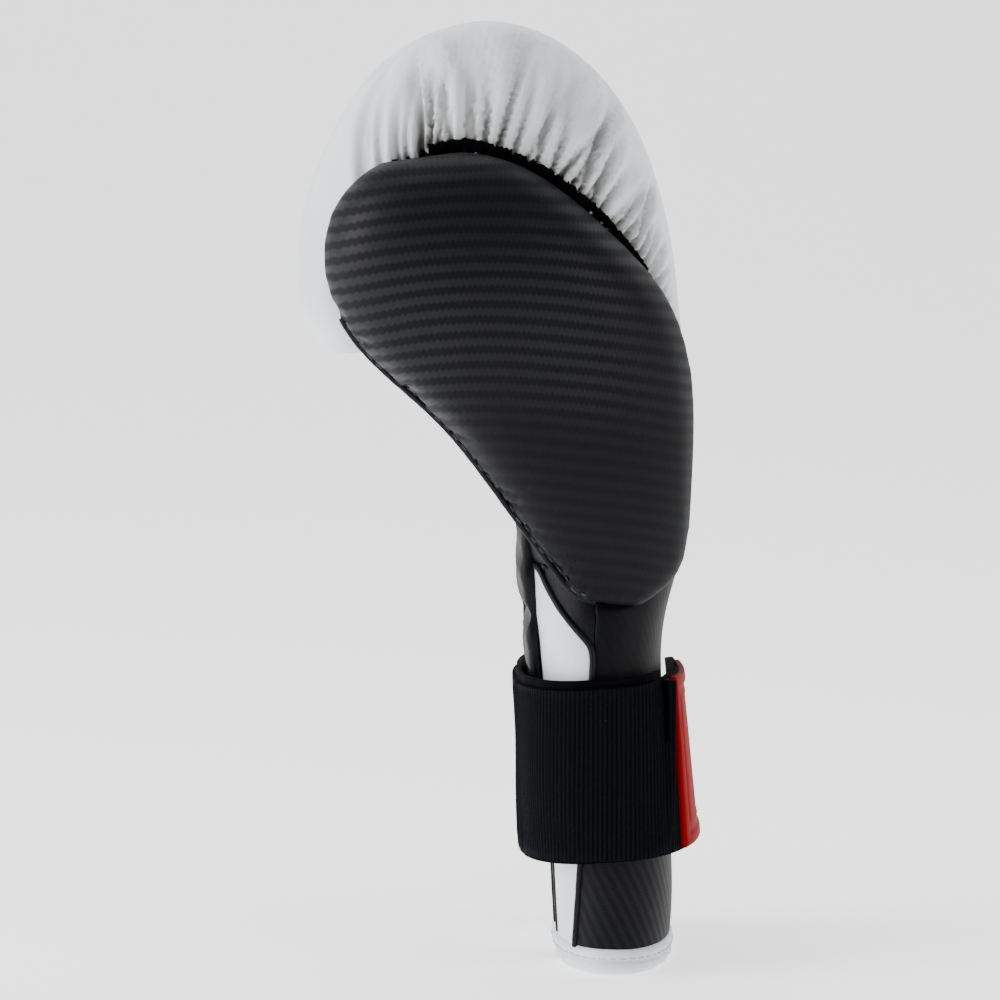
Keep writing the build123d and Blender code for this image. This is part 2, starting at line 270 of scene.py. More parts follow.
def makeFuzz(name, colour=(0.0003, 0.0003, 0.0008), light=(0.004, 0.004, 0.006), scale=1500):
    look = Look(name)
    fuzz = look.grain(scale, 5, rough=0.7)
    base = look.mix(look.smooth(fuzz, 0.4, 0.8), colour, light)
    return look.set(colour=base, rough=0.9, specular=0.04,
                    normal=look.bump(fuzz, 0.0006, 0.9))


redRubber = {"colour": (0.21, 0.0004, 0.0008), "worn": (0.17, 0.0003, 0.0007), "rough": 0.55}


def makeRubber():
    k = redRubber
    look = Look("redRubber")
    base = look.mix(look.smooth(look.grain(60, 3), 0.4, 0.7), k["colour"], k["worn"])
    return look.set(colour=base, rough=k["rough"] + look.grain(200, 3) * 0.1, specular=0.04,
                    normal=look.bump(look.grain(1800, 2), 0.00004, 0.4))


liningCloth = {"colour": (0.003, 0.003, 0.004), "light": (0.016, 0.016, 0.019), "weave": 0.0011,
               "rough": 0.85}


def makeLining():
    k = liningCloth
    look = Look("liningCloth")
    x, y, z = look.parts(look.place())
    warp = abs(((x + y) / k["weave"]).calc("FRACT") - 0.5)
    weft = abs((z / k["weave"]).calc("FRACT") - 0.5)
    weave = warp + weft
    base = look.mix(look.smooth(weave, 0.2, 0.9), k["colour"], k["light"])
    return look.set(colour=base, rough=k["rough"], specular=0.2,
                    normal=look.bump(weave, 0.0002, 0.6))


thumbBow = sum(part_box("thumb_cover")[k].x for k in (0, 1)) / 2 - 0.006

looks = {
    "white": makeWhiteLeather(), "carbon": makeCarbonLeather("carbonThumb"),
    "carbonCuff": makeCarbonLeather("carbonCuff", 1.02, True, 0.62, 0.45), "black": makeBlackLeather(),
    "piping": makeBlackLeather("pipingLeather", 1.3), "elastic": makeElastic(),
    "binding": makeElastic("strapEdge", ribbed=False), "tape": makeFuzz("roughTape"),
    "loop": makeFuzz("loopPile", scale=2600), "hook": makeFuzz("hookTape", scale=3400),
    "rubber": makeRubber(), "lining": makeLining(),
}
thread = Look("blackThread").set(colour=(0.012, 0.012, 0.014), rough=0.6)
paleThread = Look("paleThread").set(colour=(0.62, 0.62, 0.60), rough=0.6)
print("looks made")


# meshes
def meshArrays(names):
    points, faces, start = [], [], 0
    for name in names:
        mesh = nodes[name].data
        points += [v.co.copy() for v in mesh.vertices]
        faces += [[start + i for i in p.vertices] for p in mesh.polygons]
        start = len(points)
    return points, faces


def treeOf(*names):
    return BVHTree.FromPolygons(*meshArrays(names))


def addMesh(name, points, faces, look, smooth=True, uvs=None):
    mesh = bpy.data.meshes.new(name)
    mesh.from_pydata([tuple(p) for p in points], [], faces)
    if uvs is not None:
        layer = mesh.uv_layers.new(name="run")
        flat = np.array([uvs[loop.vertex_index] for loop in mesh.loops], float)
        layer.data.foreach_set("uv", flat.ravel())
    obj = bpy.data.objects.new(name, mesh)
    bpy.context.scene.collection.objects.link(obj)
    mesh.materials.append(look)
    mesh.polygons.foreach_set("use_smooth", [smooth] * len(mesh.polygons))
    mesh.update()
    return obj


def applyModifiers(obj):
    graph = bpy.context.evaluated_depsgraph_get()
    mesh = bpy.data.meshes.new_from_object(obj.evaluated_get(graph))
    obj.modifiers.clear()
    obj.data = mesh
    return obj


def remeshed(name, names, voxel, smoothing, look, levels=1):
    # one closed body from copies of CAD meshes
    points, faces = meshArrays(names)
    obj = addMesh(name, points, faces, look)
    m = obj.modifiers.new("voxels", "REMESH")
    m.mode, m.voxel_size = "VOXEL", voxel
    applyModifiers(obj)
    m = obj.modifiers.new("relax", "SMOOTH")
    m.factor, m.iterations = 0.5, smoothing
    if levels:
        m = obj.modifiers.new("finer", "SUBSURF")
        m.levels = levels
    applyModifiers(obj)
    obj.data.materials.clear()
    obj.data.materials.append(look)
    obj.data.polygons.foreach_set("use_smooth", [True] * len(obj.data.polygons))
    return obj


def coords(obj):
    co = np.zeros(len(obj.data.vertices) * 3)
    obj.data.vertices.foreach_get("co", co)
    return co.reshape(-1, 3)


def normals(obj):
    out = np.zeros(len(obj.data.vertices) * 3)
    obj.data.vertices.foreach_get("normal", out)
    return out.reshape(-1, 3)


def setCoords(obj, co):
    obj.data.vertices.foreach_set("co", co.ravel())
    obj.data.update()


def keepFaces(obj, keep):
    bm = bmesh.new()
    bm.from_mesh(obj.data)
    bm.faces.ensure_lookup_table()
    gone = [f for f in bm.faces if not keep[f.index]]
    bmesh.ops.delete(bm, geom=gone, context="FACES")
    bm.to_mesh(obj.data)
    bm.free()
    obj.data.update()


def copyOf(obj, name, look):
    out = obj.copy()
    out.data = obj.data.copy()
    out.name = out.data.name = name
    bpy.context.scene.collection.objects.link(out)
    out.data.materials.clear()
    out.data.materials.append(look)
    return out


def tubeAlong(name, path, radius, look, sides=10, wobble=0.0, seed=1):
    # round cord along a path
    path = np.array(path, float)
    count = len(path)
    ahead = np.gradient(path, axis=0)
    ahead /= np.linalg.norm(ahead, axis=1)[:, None]
    side = np.cross(ahead[0], (0, 0, 1) if abs(ahead[0][2]) < 0.9 else (1, 0, 0))
    points, faces, uvs = [], [], []
    rng = random.Random(seed)
    run = 0.0
    for i in range(count):
        side = side - ahead[i] * side.dot(ahead[i])
        side /= np.linalg.norm(side)
        up = np.cross(ahead[i], side)
        run += np.linalg.norm(path[i] - path[i - 1]) if i else 0.0
        r = radius * (1 + wobble * (rng.random() - 0.5) * 2)
        for k in range(sides):
            a = 2 * math.pi * k / sides
            points.append(path[i] + (side * math.cos(a) + up * math.sin(a)) * r)
            uvs.append((run, k / sides * 2 * math.pi * r))
    for i in range(count - 1):
        for k in range(sides):
            n = (k + 1) % sides
            faces.append([i * sides + k, i * sides + n, (i + 1) * sides + n, (i + 1) * sides + k])
    faces.append(list(range(sides))[::-1])
    faces.append([(count - 1) * sides + k for k in range(sides)])
    return addMesh(name, points, faces, look, uvs=uvs)


def resample(path, step):
    path = np.array(path, float)
    lengths = np.concatenate([[0], np.cumsum(np.linalg.norm(np.diff(path, axis=0), axis=1))])
    places = np.linspace(0, lengths[-1], max(2, int(lengths[-1] / step) + 1))
    return np.stack([np.interp(places, lengths, path[:, k]) for k in range(3)], axis=1)


def smoothPath(path, rounds=6):
    path = np.array(path, float)
    for _ in range(rounds):
        path[1:-1] = (path[:-2] + path[1:-1] * 2 + path[2:]) / 4
    return path


def stitches(name, path, across, look, pitch=0.0035, length=0.0024, radius=0.00035):
    # short thread stitches along a path; across gives their direction at each point
    path = resample(path, pitch)
    points, faces = [], []
    for i, p in enumerate(path):
        way = np.array(across(i, path), float)
        way /= np.linalg.norm(way)
        side = np.cross(way, (0.3, 0.5, 0.8))
        side /= np.linalg.norm(side)
        up = np.cross(way, side)
        start = len(points)
        for t, r in ((-0.5, 0.3), (-0.35, 1.0), (0.35, 1.0), (0.5, 0.3)):
            for k in range(6):
                a = math.pi * k / 3
                points.append(p + way * length * t + (side * math.cos(a) + up * math.sin(a)) * radius * r)
        for ring in range(3):
            for k in range(6):
                n = (k + 1) % 6
                base = start + ring * 6
                faces.append([base + k, base + n, base + 6 + n, base + 6 + k])
        faces.append([start + k for k in range(6)][::-1])
        faces.append([start + 18 + k for k in range(6)])
    return addMesh(name, points, faces, look)


def alongPath(i, path):
    return path[min(i + 1, len(path) - 1)] - path[max(i - 1, 0)]


def nearTo(tree, points, reach=0.2):
    out = np.full(len(points), reach)
    for i, p in enumerate(points):
        hit = tree.find_nearest(Vector(p))
        if hit[0] is not None:
            out[i] = hit[3]
    return out


# points on the cuff by direction and height
class Round:
    # the outermost face of some CAD nodes, seen from an upright line
    def __init__(self, centreX, *names):
        self.tree = treeOf(*names)
        self.centreX = centreX

    def reach(self, angle, z):
        way = Vector((math.cos(angle), math.sin(angle), 0))
        start = Vector((self.centreX, 0, z)) + way * 0.2
        hit = self.tree.ray_cast(start, -way, 0.2)
        return None if hit[0] is None else 0.2 - hit[3]

    def span(self, z, guess):
        # first and last direction at this height, in degrees, round a direction known to be inside
        ends = []
        for sign in (-1, 1):
            good, bad = guess, None
            while abs(good - guess) < 350:
                if self.reach(math.radians(good + sign * 2), z) is None:
                    bad = good + sign * 2
                    break
                good += sign * 2
            for _ in range(12):
                mid = (good + bad) / 2
                if self.reach(math.radians(mid), z) is None:
                    bad = mid
                else:
                    good = mid
            ends.append(good)
        return ends

    def point(self, angle, z, out=0.0):
        r = self.reach(math.radians(angle), z)
        if r is None:
            return None
        return np.array([self.centreX + (r + out) * math.cos(math.radians(angle)),
                         (r + out) * math.sin(math.radians(angle)), z])


def sheetBody(name, grid, thick, look, edgeRound=0.35, wave=None):
    # closed padded strip from a grid of outer points [row][column]; its back lies thick below
    grid = np.array(grid, float)
    rows, cols = grid.shape[:2]
    du = np.gradient(grid, axis=1)
    dv = np.gradient(grid, axis=0)
    normal = np.cross(du, dv)
    normal /= np.maximum(np.linalg.norm(normal, axis=2)[..., None], 1e-12)
    middle = grid.reshape(-1, 3).mean(0)
    if ((grid - middle) * normal).sum() < 0:
        normal = -normal
    runs = np.concatenate([[0], np.cumsum(np.linalg.norm(np.diff(grid[rows // 2], axis=0), axis=1))])
    ups = np.concatenate([[0], np.cumsum(np.linalg.norm(np.diff(grid[:, cols // 2], axis=0), axis=1))])
    edge = thick * edgeRound
    outer = grid.copy()
    for i in range(rows):
        for j in range(cols):
            d = min(runs[j], runs[-1] - runs[j], ups[i], ups[-1] - ups[i])
            if d < edge:
                outer[i, j] -= normal[i, j] * (edge - math.sqrt(max(edge * edge - (edge - d) ** 2, 0)))
    if wave is not None:
        for i in range(rows):
            for j in range(cols):
                outer[i, j] += normal[i, j] * wave(runs[j], ups[i], runs[-1], ups[-1])
    inner = grid - normal * thick
    points = np.concatenate([outer.reshape(-1, 3), inner.reshape(-1, 3)])
    uvs = [(runs[j], ups[i]) for i in range(rows) for j in range(cols)] * 2
    half = rows * cols
    faces = []
    for i in range(rows - 1):
        for j in range(cols - 1):
            a, b, c, d = i * cols + j, i * cols + j + 1, (i + 1) * cols + j + 1, (i + 1) * cols + j
            faces.append([a, b, c, d])
            faces.append([half + d, half + c, half + b, half + a])
    rim = ([(0, j) for j in range(cols)] + [(i, cols - 1) for i in range(1, rows)]
           + [(rows - 1, j) for j in range(cols - 2, -1, -1)] + [(i, 0) for i in range(rows - 2, 0, -1)])
    for (i, j), (m, n) in zip(rim, rim[1:] + rim[:1]):
        a, b = i * cols + j, m * cols + n
        faces.append([b, a, half + a, half + b])
    obj = addMesh(name, points, faces, look, uvs=uvs)
    bm = bmesh.new()
    bm.from_mesh(obj.data)
    bmesh.ops.recalc_face_normals(bm, faces=bm.faces)
    bm.to_mesh(obj.data)
    bm.free()
    return obj


def edgePlaces(length, step, fine):
    # places along a length, closer together near both ends
    count = max(4, int(length / step))
    inside = np.linspace(fine * 4, length - fine * 4, count)
    return np.concatenate([[0, fine * 0.35, fine, fine * 2.2], inside,
                           [length - fine * 2.2, length - fine, length - fine * 0.35, length]])


print("helpers ready")

# fist
fistStyle = {"voxel": 0.0018, "relax": 7, "pleats": 31, "pleatDepth": 0.0036, "pleatReach": (0.026, 0.060),
             "puff": 0.0010, "seed": 7, "early": 0.034, "farthest": 0.06, "foldHalf": 0.00075,
             "foldSpread": 0.034, "longest": 0.22, "turnShare": 0.62, "dip": 0.0006}

tapePoints = coords(nodes["gusset_tape"])


def seamLine():
    # middle of the tape, from its palm end to its back end
    low, high = tapePoints.min(0), tapePoints.max(0)
    edges = np.linspace(low[0] + 0.0005, high[0] - 0.0005, 34)
    line = []
    for a, b in zip(edges, edges[1:]):
        part = tapePoints[(tapePoints[:, 0] >= a - 0.001) & (tapePoints[:, 0] <= b + 0.001)]
        if len(part) > 3:
            line.append((part.min(0) + part.max(0)) / 2)
    return smoothPath(resample(line, 0.001), 30)


foamNames = ["knuckle_foam", "finger_foam"]
fistNames = ["fist_cover", "palm_cover", "palm_foam", "hand_lining", "thumb_gusset", *foamNames]
whole = remeshed("fistWhole", fistNames, fistStyle["voxel"], fistStyle["relax"], looks["white"])
wholeCo = coords(whole)
toCover = nearTo(treeOf("fist_cover", "palm_cover"), wholeCo)
toLining = nearTo(treeOf("hand_lining"), wholeCo)
toGusset = nearTo(treeOf("thumb_gusset"), wholeCo)
seam = seamLine()
print("fist remeshed", len(wholeCo))

palmLow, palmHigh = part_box("palm_cover")
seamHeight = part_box("fist_cover")[0].z


def cutFist(obj):
    # crisp panel edges along the palm window
    bm = bmesh.new()
    bm.from_mesh(obj.data)
    for place, way in ((Vector((0, palmLow.y, 0)), Vector((0, 1, 0))),
                       (Vector((0, palmHigh.y, 0)), Vector((0, 1, 0))),
                       (Vector((0, 0, palmHigh.z - 0.001)), Vector((0, 0, 1))),
                       (Vector((palmHigh.x, 0, 0)), Vector((1, 0, 0))),
                       (Vector((palmLow.x, 0, 0)), Vector((1, 0, 0)))):
        bmesh.ops.bisect_plane(bm, geom=bm.verts[:] + bm.edges[:] + bm.faces[:], plane_co=place,
                               plane_no=way)
    bm.to_mesh(obj.data)
    bm.free()


def pleat(obj):
    # gathered folds that fan out from the tape; their valleys and the strip beside the tape get painted
    # shade, kept as a per-vertex value for the leather colour
    k = fistStyle
    rng = random.Random(k["seed"])
    co, no = coords(obj), normals(obj)
    lengths = np.concatenate([[0], np.cumsum(np.linalg.norm(np.diff(seam, axis=0), axis=1))])
    total = lengths[-1]
    marks = [-k["early"]]
    while marks[-1] < total:
        marks.append(marks[-1] + total / k["pleats"] * rng.uniform(0.6, 1.45))
    reaches = [rng.uniform(*k["pleatReach"]) for _ in marks]
    deeps = [rng.uniform(0.55, 1.15) for _ in marks]
    bends = [rng.uniform(-0.5, 0.5) for _ in marks]
    paintedCreaseShade = np.zeros(len(co))
    seamStart = (seam[8] - seam[0]) / np.linalg.norm(seam[8] - seam[0])
    for i, p in enumerate(co):
        d = np.linalg.norm(seam - p, axis=1)
        j = int(d.argmin())
        away = d[j]
        if away > k["farthest"] or no[i][1] > 0.75:
            continue
        along = lengths[j]
        if j == 0:
            # beyond the palm end the folds turn round the rim of the thumb
            along = float((p - seam[0]).dot(seamStart)) * k["turnShare"] - 0.010 * (away / 0.05)
        fade = 1.0 if j < len(seam) - 1 else max(0.0, 1 - away / 0.012)
        lift = dark = 0.0
        for m, r, deep, bend in zip(marks, reaches, deeps, bends):
            r = r * (0.35 + 0.75 * math.exp(-((along / total - k["longest"]) / 0.36) ** 2))
            off = along - m - bend * away * 0.35
            if away > r or abs(off) > 0.006:
                continue
            wide = k["foldHalf"] + away * k["foldSpread"]
            shape = math.exp(-(off / wide) ** 2)
            reach = (1 - away / r) ** 0.7 * min(1.0, 0.45 + away / 0.004)
            lift -= shape * reach * deep * k["pleatDepth"]
            lift += math.exp(-((abs(off) - wide * 2.2) / (wide * 1.3)) ** 2) * reach * k["puff"] * deep
            dark = max(dark, shape * reach ** 1.5 * deep)
        close = max(0.0, 1 - away / 0.006)
        near = max(0.0, 1 - away / 0.014)
        co[i] += no[i] * (lift * fade - close ** 2 * k["dip"])
        # painted shade: darkest in fold valleys and close beside the tape
        paintedCreaseShade[i] = min(1.0, dark * 0.8 * fade + close ** 2 * 0.6 + 0.25 * near * fade)
    setCoords(obj, co)
    layer = obj.data.attributes.new("paintedCreaseShade", "FLOAT", "POINT")
    layer.data.foreach_set("value", paintedCreaseShade.astype(np.float32))


def softWaves(obj, depth, scale, seed=0.0):
    co, no = coords(obj), normals(obj)
    for i, p in enumerate(co):
        co[i] += no[i] * noise.noise(Vector(p) * scale + Vector((seed, 0, 0))) * depth
    setCoords(obj, co)


whichPiece = np.where(toLining < np.minimum(toCover, toGusset), 1, np.where(toGusset < toCover, 2, 0))
whole.data.attributes.new("whose", "INT", "POINT").data.foreach_set("value", whichPiece.astype(np.int32))
cutFist(whole)
whose = np.zeros(len(whole.data.vertices), np.int32)
whole.data.attributes["whose"].data.foreach_get("value", whose)
centres = np.array([p.center for p in whole.data.polygons])
facing = np.array([p.normal for p in whole.data.polygons])
owner = np.array([np.bincount(whose[list(p.vertices)], minlength=3).argmax() for p in whole.data.polygons])
bottom = (centres[:, 2] < seamHeight + 0.0009) & (facing[:, 2] < -0.7)
inPalm = ((centres[:, 0] < palmHigh.x) & (centres[:, 0] > palmLow.x) & (centres[:, 1] > palmLow.y)
          & (centres[:, 1] < palmHigh.y) & (centres[:, 2] < palmHigh.z - 0.001))
fistCover = copyOf(whole, "fistCover", looks["white"])
keepFaces(fistCover, (owner == 0) & ~inPalm & ~bottom)
palmCover = copyOf(whole, "palmCover", looks["black"])
keepFaces(palmCover, (owner == 0) & inPalm & ~bottom)
handLining = copyOf(whole, "handLining", looks["lining"])
keepFaces(handLining, (owner == 1) & ~bottom)
thumbGusset = copyOf(whole, "thumbGusset", looks["black"])
keepFaces(thumbGusset, (owner == 2) & ~bottom)
bpy.data.objects.remove(whole)
softWaves(fistCover, 0.0007, 26)
pleat(fistCover)
softWaves(palmCover, 0.0006, 60, 3)
softWaves(handLining, 0.0005, 90, 5)
for piece in (fistCover, palmCover, handLining, thumbGusset):
    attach(piece, "glove_body")
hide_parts("fist_cover", *foamNames)
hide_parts("palm_cover", "palm_foam", "grip_bar")
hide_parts("hand_lining")
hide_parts("thumb_gusset")
print("fist made")

# thumb
thumbStyle = {"voxel": 0.002, "relax": 8, "piping": 0.0011, "gathers": 0.0011,
              "draw": 0.0048, "drawReach": 0.030, "drawHeight": 0.175, "drawSpread": 0.026,
              "folds": 30, "foldReach": 0.02, "rimTop": 0.214, "rimBack": -0.006}
thumbCover = remeshed("thumbCover", ["thumb_cover", "thumb_foam"], thumbStyle["voxel"], thumbStyle["relax"],
                      looks["carbon"])
thumbCo = coords(thumbCover)
thumbMiddle = np.array([(thumbCo[:, 0].min() + thumbCo[:, 0].max()) / 2, 0,
                        (thumbCo[:, 2].min() + thumbCo[:, 2].max()) / 2])
lean = np.array([0.62, 0, -0.78])


def thumbRim(sections=140):
    # widest line round the thumb as seen from its own side, in order
    rim = []
    rel = thumbCo - thumbMiddle
    along = rel @ lean
    lo, hi = along.min(), along.max()
    other = np.array([lean[2], 0, -lean[0]])
    across = rel @ other
    for sign in (1, -1):
        part = []
        for k in range(sections + 1):
            t = lo + (hi - lo) * (0.5 - 0.5 * math.cos(math.pi * (k + 0.5) / (sections + 1)))
            near = np.abs(along - t) < 0.002
            if near.sum() < 4:
                continue
            ids = np.where(near)[0]
            best = ids[(across[ids] * sign).argmax()]
            top = ids[across[ids] * sign > across[best] * sign - 0.0004]
            part.append(thumbCo[top].mean(0))
        rim.append(smoothPath(resample(part, 0.002), 12))
    return rim


rims = thumbRim()
lowerRim = max(rims, key=lambda r: -r[:, 0].mean() - r[:, 2].mean())
upperRim = min(rims, key=lambda r: -r[:, 0].mean() - r[:, 2].mean())
lowerRim = lowerRim[(lowerRim[:, 2] < thumbStyle["rimTop"]) & (lowerRim[:, 0] < thumbStyle["rimBack"])]


def gatherThumb(obj):
    # small folds drawn in along the piping and soft seam groove beside it
    co, no = coords(obj), normals(obj)
    lengths = np.concatenate([[0], np.cumsum(np.linalg.norm(np.diff(lowerRim, axis=0), axis=1))])
    rng = random.Random(3)
    marks = [(rng.uniform(0, lengths[-1]), rng.uniform(0.006, 0.017), rng.uniform(0.5, 1.1),
              rng.uniform(-0.6, 0.6)) for _ in range(thumbStyle["folds"])]
    for i, p in enumerate(co):
        d = np.linalg.norm(lowerRim - p, axis=1)
        j = int(d.argmin())
        away = d[j]
        if away > thumbStyle["foldReach"]:
            continue
        move = 0.0
        for m, r, deep, bend in marks:
            off = lengths[j] - m - bend * away
            if away < r and abs(off) < 0.005:
                move -= math.exp(-(off / (0.0008 + away * 0.06)) ** 2) * (1 - away / r) * deep
        seamDip = math.exp(-((away - 0.0022) / 0.0014) ** 2) * 0.5
        co[i] += no[i] * (move - seamDip) * thumbStyle["gathers"]
    setCoords(obj, co)


def drawIn(points):
    # the palm side of the thumb is pulled in a little, most at its middle height
    out = np.array(points, float)
    for i, p in enumerate(out):
        away = np.linalg.norm(lowerRim - p, axis=1).min()
        if away < thumbStyle["drawReach"]:
            share = 0.5 + 0.5 * math.cos(math.pi * away / thumbStyle["drawReach"])
            part = math.exp(-((p[2] - thumbStyle["drawHeight"]) / thumbStyle["drawSpread"]) ** 2)
            out[i] += np.array([0.7, 0.0, 0.7]) * thumbStyle["draw"] * share * part
    return out


gatherThumb(thumbCover)
setCoords(thumbCover, drawIn(coords(thumbCover)))
lowerRim = drawIn(lowerRim)
thumbPiping = tubeAlong("thumbPiping", resample(lowerRim, 0.0015), thumbStyle["piping"], looks["piping"],
                        wobble=0.05)
thumbStitchLine = lowerRim + (thumbMiddle - lowerRim) * 0.055 + np.array([0, -0.0035, 0])
thumbHug = BVHTree.FromPolygons([tuple(p) for p in coords(thumbCover)],
                                [list(p.vertices) for p in thumbCover.data.polygons])


def layOn(tree, path, lift):
    out = []
    for p in path:
        spot, way, _, _ = tree.find_nearest(Vector(p))
        out.append(np.array(spot + way * lift))
    return np.array(out)


print("thumb made")
thumbStitches = stitches("thumbStitches", layOn(thumbHug, thumbStitchLine, 0.0001),
                         alongPath, thread, pitch=0.0042, length=0.0026)
for piece in (thumbCover, thumbPiping, thumbStitches):
    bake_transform(piece)
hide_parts("thumb_cover", "thumb_foam", "thumb_lining")

# tape and the stitched edge beside the thumb
tapeStyle = {"wide": 0.0040, "thin": 0.0010, "thick": 0.0012, "jag": 0.45}
fistHug = BVHTree.FromPolygons([tuple(p) for p in coords(fistCover)],
                               [list(p.vertices) for p in fistCover.data.polygons])


def makeTape():
    k = tapeStyle
    line = layOn(fistHug, resample(seam, 0.0006), 0.0)
    line = smoothPath(line, 10)
    rng = random.Random(11)
    count = len(line)
    points, faces, uvs = [], [], []
    for i, p in enumerate(line):
        ahead = line[min(i + 2, count - 1)] - line[max(i - 2, 0)]
        ahead /= np.linalg.norm(ahead)
        up = np.array(fistHug.find_nearest(Vector(p))[1])
        side = np.cross(ahead, up)
        side /= np.linalg.norm(side)
        share = i / (count - 1)
        half = (k["thin"] + (k["wide"] - k["thin"]) * math.exp(-((share - 0.26) / 0.30) ** 2)) * 0.6
        for t, h in ((-1, 0.2), (-0.8, 0.8), (-0.3, 1.0), (0.3, 1.0), (0.8, 0.8), (1, 0.2)):
            ragged = 1 + (rng.random() - 0.5) * k["jag"] * (abs(t) > 0.7)
            points.append(p + side * half * t * ragged + up * k["thick"] * h * (0.8 + 0.4 * rng.random()))
            uvs.append((i * 0.0006, t * half))
    for i in range(count - 1):
        for j in range(5):
            a = i * 6 + j
            faces.append([a, a + 1, a + 7, a + 6])
    return addMesh("gussetTape", points, faces, looks["tape"], uvs=uvs)


gussetTape = makeTape()
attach(gussetTape, "glove_body")
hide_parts("gusset_tape")

backEdge = upperRim[(upperRim[:, 2] < seam[-1][2] + 0.002) & (upperRim[:, 2] > 0.165)]
backEdge = layOn(fistHug, backEdge + np.array([0.0035, 0.004, 0.001]), 0.0002)
backStitches = stitches("backStitches", backEdge, lambda i, path: np.array([1.0, 0.3, 0.35]), thread,
                        pitch=0.0026, length=0.0030, radius=0.0004)
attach(backStitches, "glove_body")
print("tape made")

# cuff
cuffStyle = {"panelThick": 0.003, "heelThick": 0.0016, "heelLeast": 0.0022, "binding": 0.0011,
             "panelWave": 0.0004, "flapWave": 0.0005, "hemThick": 0.0072, "hemDip": 0.0008,
             "hemSeam": 0.60}
cuffLow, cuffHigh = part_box("cuff_back_panel")
cuffMiddleX = -0.003


def spanTable(shape, guess, low, high, count=14):
    heights = np.linspace(low, high, count)
    ends = np.array([shape.span(z, guess) for z in heights])
    return lambda z: (np.interp(z, heights, ends[:, 0]), np.interp(z, heights, ends[:, 1]))


def panelGrid(shape, spans, low, high, out=0.0, step=0.0016, rowStep=0.002, fine=0.0004):
    # rows run from low to high, which may be numbers or functions of the share of the way round
    lowAt = low if callable(low) else lambda s: low
    highAt = high if callable(high) else lambda s: high
    middle = (lowAt(0.5) + highAt(0.5)) / 2
    first, last = spans(middle)
    line = [shape.point(a, middle, out) for a in np.linspace(first, last, 24)]
    line = [p for p in line if p is not None]
    length = sum(np.linalg.norm(b - a) for a, b in zip(line, line[1:]))
    shares = edgePlaces(length, step, fine) / length
    tall = highAt(0.5) - lowAt(0.5)
    ups = edgePlaces(tall, rowStep, min(fine, tall / 12)) / tall
    grid = []
    for t in ups:
        row = []
        for s in shares:
            z = lowAt(s) + (highAt(s) - lowAt(s)) * t
            a, b = spans(z)
            row.append((a + (b - a) * s, z, shape.point(a + (b - a) * s, z, out)))
        known = [k for k, item in enumerate(row) if item[2] is not None]
        for k, (angle, z, p) in enumerate(row):
            if p is None and known:
                q = row[min(known, key=lambda m: abs(m - k))][2]
                r = math.hypot(q[0] - shape.centreX, q[1])
                row[k] = (angle, z, np.array([shape.centreX + r * math.cos(math.radians(angle)),
                                              r * math.sin(math.radians(angle)), z]))
        if known:
            grid.append([item[2] for item in row])
    return np.array(grid)


panelShape = Round(cuffMiddleX, "cuff_back_panel")
panelSpans = spanTable(panelShape, 360, cuffLow.z + 0.001, 0.112)
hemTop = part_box("cuff_hem")[1].z
panelGridPoints = panelGrid(panelShape, panelSpans, hemTop - 0.001, cuffHigh.z - 0.0002)
cuffBackPanel = sheetBody("cuffBackPanel", panelGridPoints, cuffStyle["panelThick"], looks["carbonCuff"],
                          wave=lambda u, v, w, h: (cuffStyle["panelWave"] * math.sin(v * 55)
                                                   * math.sin(u * 40)))

flapTop = {"slitSide": 0.139, "drop": 0.0325, "curve": 0.95}


def flapEdge(reverse):
    def top(s):
        s = 1 - s if reverse else s
        return min(cuffHigh.z - 0.0002, flapTop["slitSide"] - flapTop["drop"] * s ** flapTop["curve"])
    return top


flaps = {}
for name, node, guess, reverse in (("cuffFlapThumbSide", "cuff_flap_thumb_side", 235, False),
                                   ("cuffFlapOuterSide", "cuff_flap_outer_side", 130, True)):
    shape = Round(cuffMiddleX, node)
    spans = spanTable(shape, guess, cuffLow.z + 0.001, 0.116)
    top = flapEdge(reverse)
    grid = panelGrid(shape, spans, hemTop - 0.001, top)
    flaps[name] = sheetBody(name, grid, cuffStyle["panelThick"], looks["white"],
                            wave=lambda u, v, w, h: (cuffStyle["flapWave"] * math.sin(v * 70)
                                                     * math.sin(3.14 * u / w)))
    heel = panelGrid(shape, spans, top, cuffHigh.z - 0.0004, out=-0.0003)
    tall = np.linalg.norm(heel[-1] - heel[0], axis=1)
    wide = np.where(tall > cuffStyle["heelLeast"])[0]
    heel = heel[:, wide.min():wide.max() + 1]
    flaps[name + "Heel"] = sheetBody(name + "Heel", heel, cuffStyle["heelThick"], looks["black"])
    side, corner = (grid[:, 0], grid[-1]) if reverse else (grid[:, -1], grid[-1][::-1])
    binding = smoothPath(resample(np.concatenate([side, corner[1:]]), 0.002), 4)
    flaps[name + "Binding"] = tubeAlong(name + "Binding", binding, cuffStyle["binding"], looks["piping"],
                                        wobble=0.06)
for piece in flaps.values():
    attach(piece, "glove_body")
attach(cuffBackPanel, "glove_body")
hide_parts("cuff_back_panel", "cuff_foam")
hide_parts("cuff_flap_thumb_side")
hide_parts("cuff_flap_outer_side")

